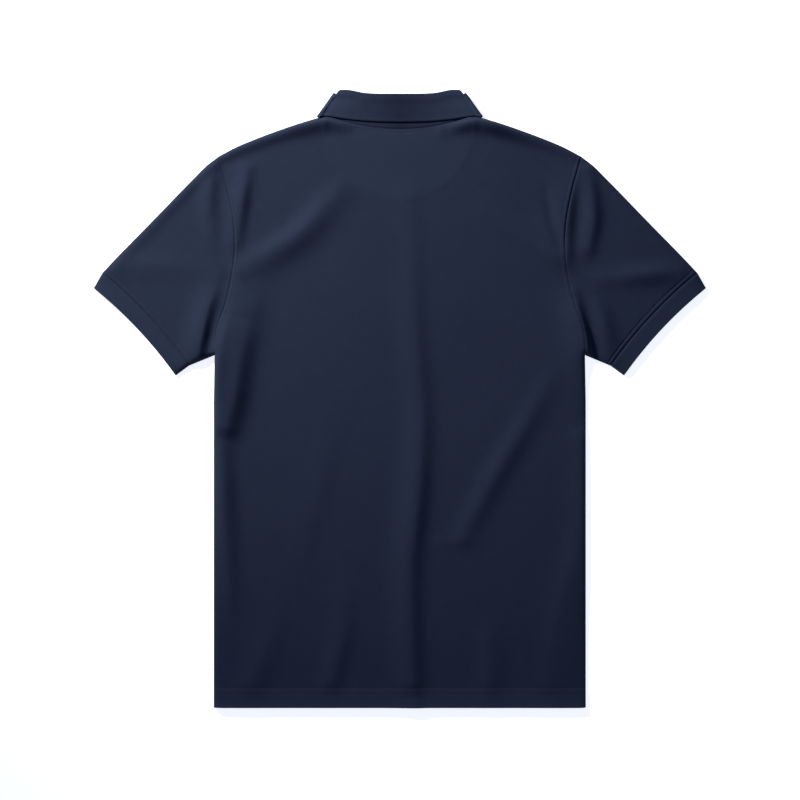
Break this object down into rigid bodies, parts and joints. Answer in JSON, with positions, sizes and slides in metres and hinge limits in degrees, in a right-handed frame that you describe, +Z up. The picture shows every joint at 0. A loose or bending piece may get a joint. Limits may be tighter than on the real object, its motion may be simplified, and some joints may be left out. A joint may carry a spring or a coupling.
{
  "type": "polo shirt",
  "caption": "Short-sleeved navy knit polo shirt with a turned-down collar and ribbed cuffs, laid flat on its front with the back up.",
  "frame": {"origin": "middle of the underside's bounding box, on the surface that the shirt lies on", "axes": "+Z up from the surface, out of the back panel; +Y from the hem towards the collar; +X towards the wearer's right sleeve, which is on the right seen from above"},
  "size_m": [0.7966, 0.8026, 0.0164],
  "materials": {
    "knit": "matte navy pique knit",
    "rib": "matte navy flat knit and rib of the collar and cuffs",
    "button": "satin navy resin",
    "thread": "navy polyester sewing thread"
  },
  "bodies": {
    "root": {"back": "knit", "front": "knit", "sleeve_left": "knit", "sleeve_right": "knit", "cuff_left": "rib", "cuff_right": "rib", "collar": "rib", "half_moon": "knit", "placket_top": "knit", "placket_under": "knit", "button_1": "button", "button_2": "button", "button_3": "button"}
  },
  "joints": []
}
